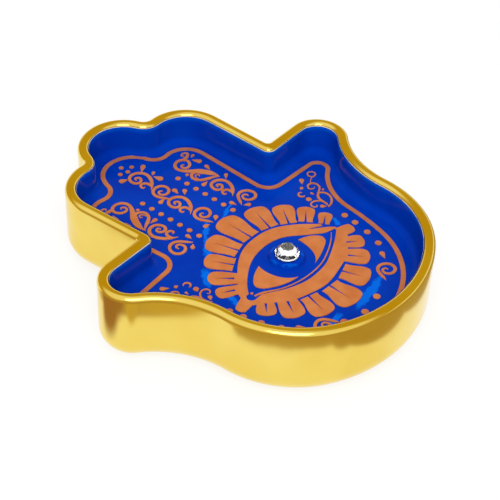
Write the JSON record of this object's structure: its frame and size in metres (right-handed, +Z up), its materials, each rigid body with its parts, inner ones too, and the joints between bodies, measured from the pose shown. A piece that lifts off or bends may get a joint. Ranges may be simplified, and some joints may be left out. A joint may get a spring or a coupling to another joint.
{
  "type": "hamsa hand trinket tray",
  "caption": "Glazed ceramic dish in the shape of an open hand, blue inside with a copper eye print, gold rim and outside, and a cut glass stone as the pupil.",
  "frame": {"origin": "on the table under the middle of the hand's length and width", "axes": "+Z up from the table, +Y from the wrist end towards the fingertips, +X towards the right thumb"},
  "size_m": [0.1318, 0.149, 0.0312],
  "materials": {
    "fired_clay": "unglazed, fine and matt",
    "gold_lustre": "metallic gold lustre, gloss, brushed on by hand",
    "blue_glaze": "deep blue gloss glaze",
    "copper_print": "satin copper lustre print, slightly raised",
    "crystal": "clear, cut and polished",
    "silver_foil": "silvered back of the stone",
    "clear_glue": "clear set epoxy"
  },
  "bodies": {
    "root": {"ceramic_body": "fired_clay", "gold_coat": "gold_lustre", "blue_glaze": "blue_glaze", "border_line": "copper_print", "eyelids": "copper_print", "upper_petals": "copper_print", "lower_petals": "copper_print", "lower_lid_line": "copper_print", "left_eye_white": "copper_print", "right_eye_white": "copper_print", "tear_duct_dot": "copper_print", "middle_finger_scrolls": "copper_print", "right_finger_scrolls": "copper_print", "left_finger_scrolls": "copper_print", "right_thumb_scrolls": "copper_print", "left_thumb_scrolls": "copper_print", "palm_scrolls": "copper_print", "tip_dots": "copper_print", "finger_dots": "copper_print", "palm_dots": "copper_print", "heel_dots": "copper_print", "stone": "crystal", "stone_foil": "silver_foil", "stone_glue": "clear_glue"}
  },
  "joints": []
}
